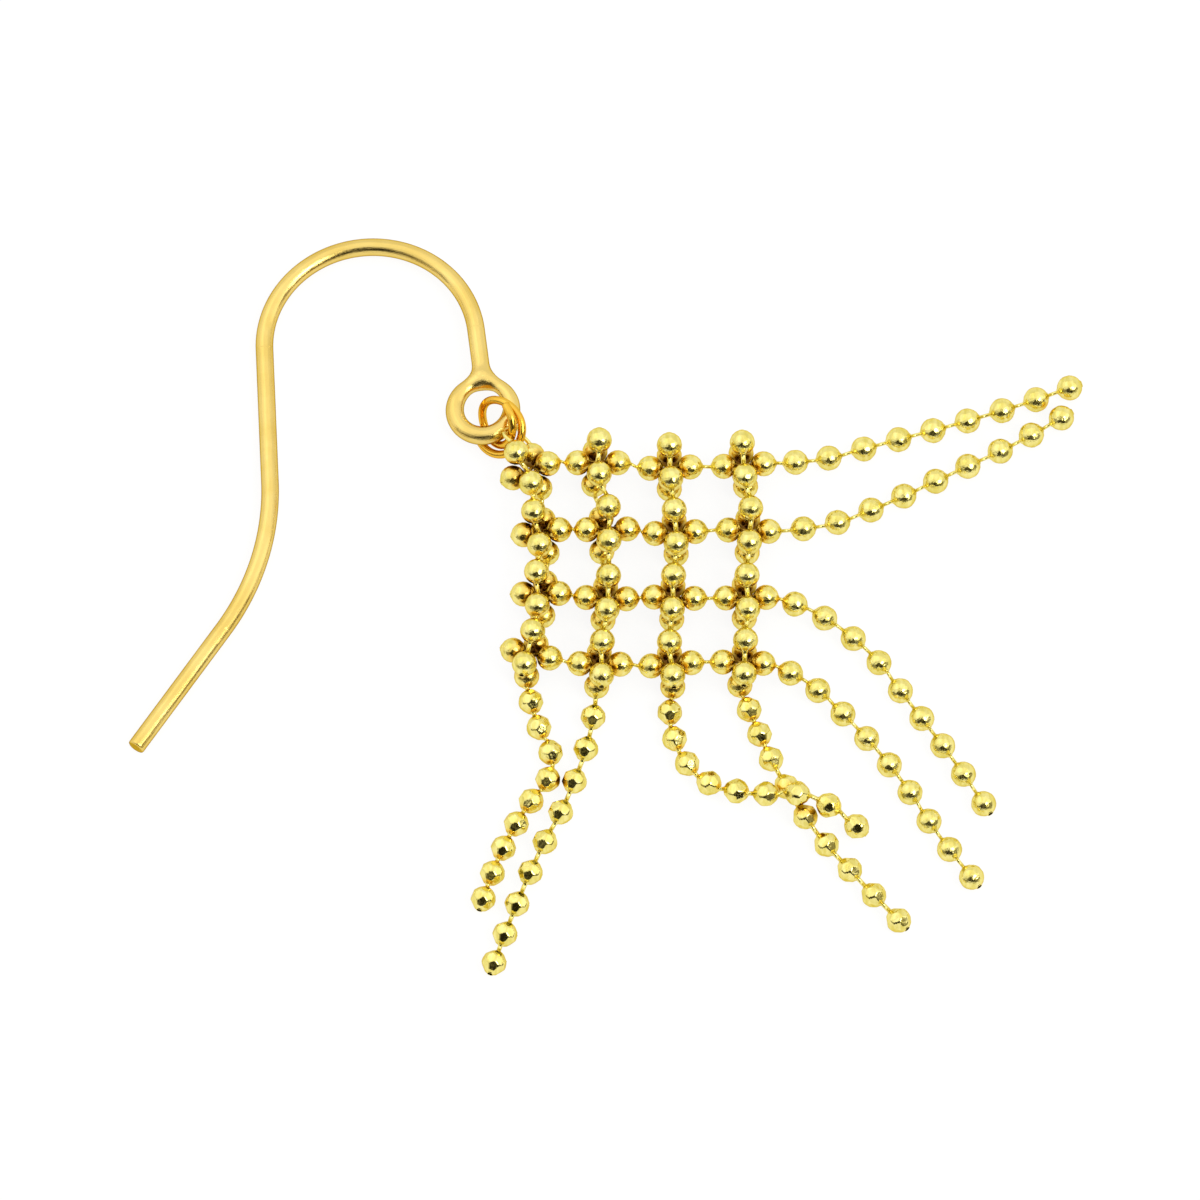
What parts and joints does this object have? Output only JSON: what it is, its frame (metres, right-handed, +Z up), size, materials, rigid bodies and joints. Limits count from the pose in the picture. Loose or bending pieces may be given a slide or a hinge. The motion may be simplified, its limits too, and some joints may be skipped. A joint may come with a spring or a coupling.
{
  "type": "fringe earring",
  "caption": "Gold French ear wire with a double jump ring that carries a woven square of ball chain, its strands running on as loose tails. It lies flat.",
  "frame": {"origin": "middle of the earring's bounding box, on the surface it lies on", "axes": "+X to the right across the mesh, +Y away from the viewer towards the ear wire's arch, +Z up from the surface"},
  "size_m": [0.0377, 0.0318, 0.0021],
  "materials": {
    "hook_gold": "softly brushed yellow gold, slightly orange",
    "ball_gold": "mirror-polished, faintly faceted lemon yellow gold",
    "link_gold": "drawn yellow gold wire, polished"
  },
  "bodies": {
    "root": {"ear_hook": "hook_gold", "jump_ring": "hook_gold", "corner_link": "link_gold", "row_1_beads": "ball_gold", "row_2_beads": "ball_gold", "row_3_beads": "ball_gold", "row_4_beads": "ball_gold", "row_1_wire": "link_gold", "row_2_wire": "link_gold", "row_3_wire": "link_gold", "row_4_wire": "link_gold", "column_1_beads": "ball_gold", "column_2_beads": "ball_gold", "column_3_beads": "ball_gold", "column_4_beads": "ball_gold", "column_1_wire": "link_gold", "column_2_wire": "link_gold", "column_3_wire": "link_gold", "column_4_wire": "link_gold", "front_1_beads": "ball_gold", "front_2_beads": "ball_gold", "front_3_beads": "ball_gold", "front_4_beads": "ball_gold", "front_1_wire": "link_gold", "front_2_wire": "link_gold", "front_3_wire": "link_gold", "front_4_wire": "link_gold"}
  },
  "joints": []
}
